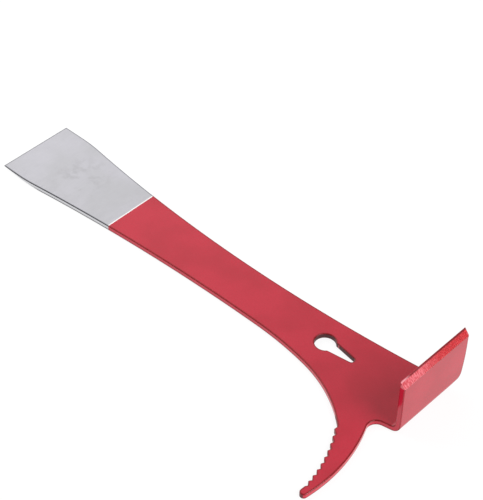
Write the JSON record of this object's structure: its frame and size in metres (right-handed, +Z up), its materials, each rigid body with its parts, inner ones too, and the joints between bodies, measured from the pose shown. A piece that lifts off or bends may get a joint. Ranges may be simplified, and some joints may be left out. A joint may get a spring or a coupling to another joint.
{
  "type": "hive tool",
  "caption": "Flat steel hive tool with a ground blade, a keyhole, a toothed side hook and an upturned scraper foot, coated behind the blade.",
  "frame": {"origin": "on the flat underside, on the shank's centre line, halfway along the tool", "axes": "+X along the tool from the blade to the foot, +Y across it away from the hook, +Z up, the way the foot is bent"},
  "size_m": [0.2713, 0.106, 0.0342],
  "materials": {
    "stainless_steel": "satin ground",
    "red_enamel": "semi-gloss"
  },
  "bodies": {
    "root": {"steel_body": "stainless_steel", "red_coating": "red_enamel"}
  },
  "joints": []
}
